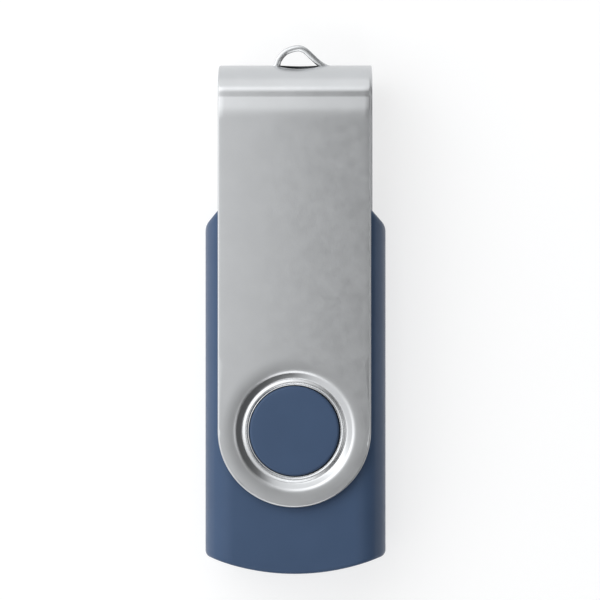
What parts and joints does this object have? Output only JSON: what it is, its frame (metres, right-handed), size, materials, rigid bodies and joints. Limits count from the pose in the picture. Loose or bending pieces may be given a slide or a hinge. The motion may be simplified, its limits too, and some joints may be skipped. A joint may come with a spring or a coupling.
{
  "type": "usb flash drive",
  "caption": "Swivel USB flash drive: flat plastic housing with a USB plug, and a bent sheet-metal cover with a key-ring loop that turns about round bosses.",
  "frame": {"origin": "centre of the bounding box's bottom face: the drive lies on the cover's rear arm", "axes": "+Z out of the broad front face, +Y along the length towards the plug and the key-ring loop, +X across; the swivel axis is parallel to Z at y = -12.8 mm"},
  "size_m": [0.019, 0.0557, 0.0104],
  "materials": {
    "blue_plastic": "soft-touch satin",
    "satin_steel": "fine satin",
    "nickel_plate": "bright nickel",
    "white_nylon": "moulded",
    "gold_plate": "gold plate",
    "green_board": "solder mask",
    "black_epoxy": "moulded epoxy",
    "ceramic_tan": "matt ceramic",
    "led_resin": "clear resin"
  },
  "bodies": {
    "housing": {"front_housing_shell": "blue_plastic", "rear_housing_shell": "blue_plastic", "plug_shell": "nickel_plate", "plug_tongue": "white_nylon", "contact_power": "gold_plate", "contact_data_minus": "gold_plate", "contact_data_plus": "gold_plate", "contact_ground": "gold_plate", "circuit_board": "green_board", "memory_chip": "black_epoxy", "controller_chip": "black_epoxy", "voltage_regulator": "black_epoxy", "crystal_can": "nickel_plate", "indicator_led": "led_resin", "power_ferrite": "black_epoxy", "capacitor_1": "ceramic_tan", "capacitor_2": "ceramic_tan", "capacitor_3": "ceramic_tan", "capacitor_4": "ceramic_tan", "capacitor_5": "ceramic_tan", "capacitor_6": "ceramic_tan", "resistor_1": "black_epoxy", "resistor_2": "black_epoxy", "resistor_3": "black_epoxy", "resistor_4": "black_epoxy"},
    "cover": {"swivel_cover": "satin_steel"}
  },
  "joints": [
    {"name": "cover_swivel", "type": "hinge", "parent": "housing", "child": "cover", "pos_m": [0, -0.0128, 0.0052], "axis": [0, 0, 1], "continuous": true}
  ]
}
